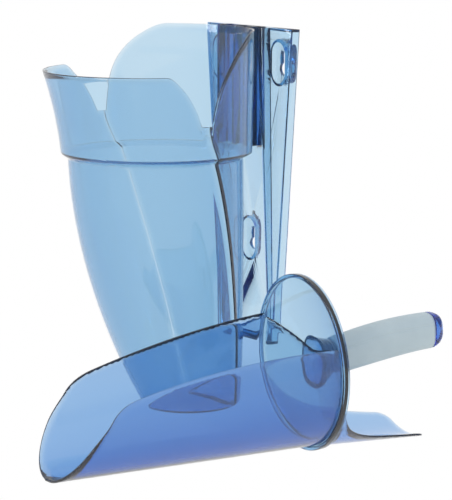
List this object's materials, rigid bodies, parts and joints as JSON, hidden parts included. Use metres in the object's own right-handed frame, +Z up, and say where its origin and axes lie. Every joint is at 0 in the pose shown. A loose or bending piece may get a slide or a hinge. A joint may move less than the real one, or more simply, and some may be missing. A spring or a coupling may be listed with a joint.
{
  "type": "scoop with wall holder",
  "caption": "Clear blue plastic scoop with a round hand guard and soft grip, lying beside its tall cup holder that slides onto a tapered keyhole wall bracket.",
  "frame": {"origin": "middle of the whole set's footprint, on the surface it stands on", "axes": "+Z up; -Y is the holder's front and +Y faces the wall; X runs across the holder, with the scoop on its +X side and its nose towards -Y"},
  "size_m": [0.3352, 0.3674, 0.347],
  "materials": {
    "clear_plastic": "glossy transparent blue polycarbonate",
    "soft_grip": "matte pale grey-green soft moulded grip",
    "end_cap": "translucent deep blue moulding"
  },
  "bodies": {
    "bracket": {"wall_bracket": "clear_plastic"},
    "cup": {"cup_front_shell": "clear_plastic", "cup_back_shell": "clear_plastic", "cup_runner": "clear_plastic"},
    "scoop": {"scoop_trough": "clear_plastic", "hand_guard": "clear_plastic", "knuckle_guard": "clear_plastic", "handle_core": "clear_plastic", "soft_grip": "soft_grip", "handle_end_cap": "end_cap"}
  },
  "joints": [
    {"name": "cup_slide", "type": "slide", "parent": "bracket", "child": "cup", "axis": [0, 0, 1], "range_m": [0, 0.12]},
    {"name": "scoop_lift", "type": "slide", "parent": "bracket", "child": "scoop", "axis": [0, 0, 1], "range_m": [0, 0.4]}
  ]
}
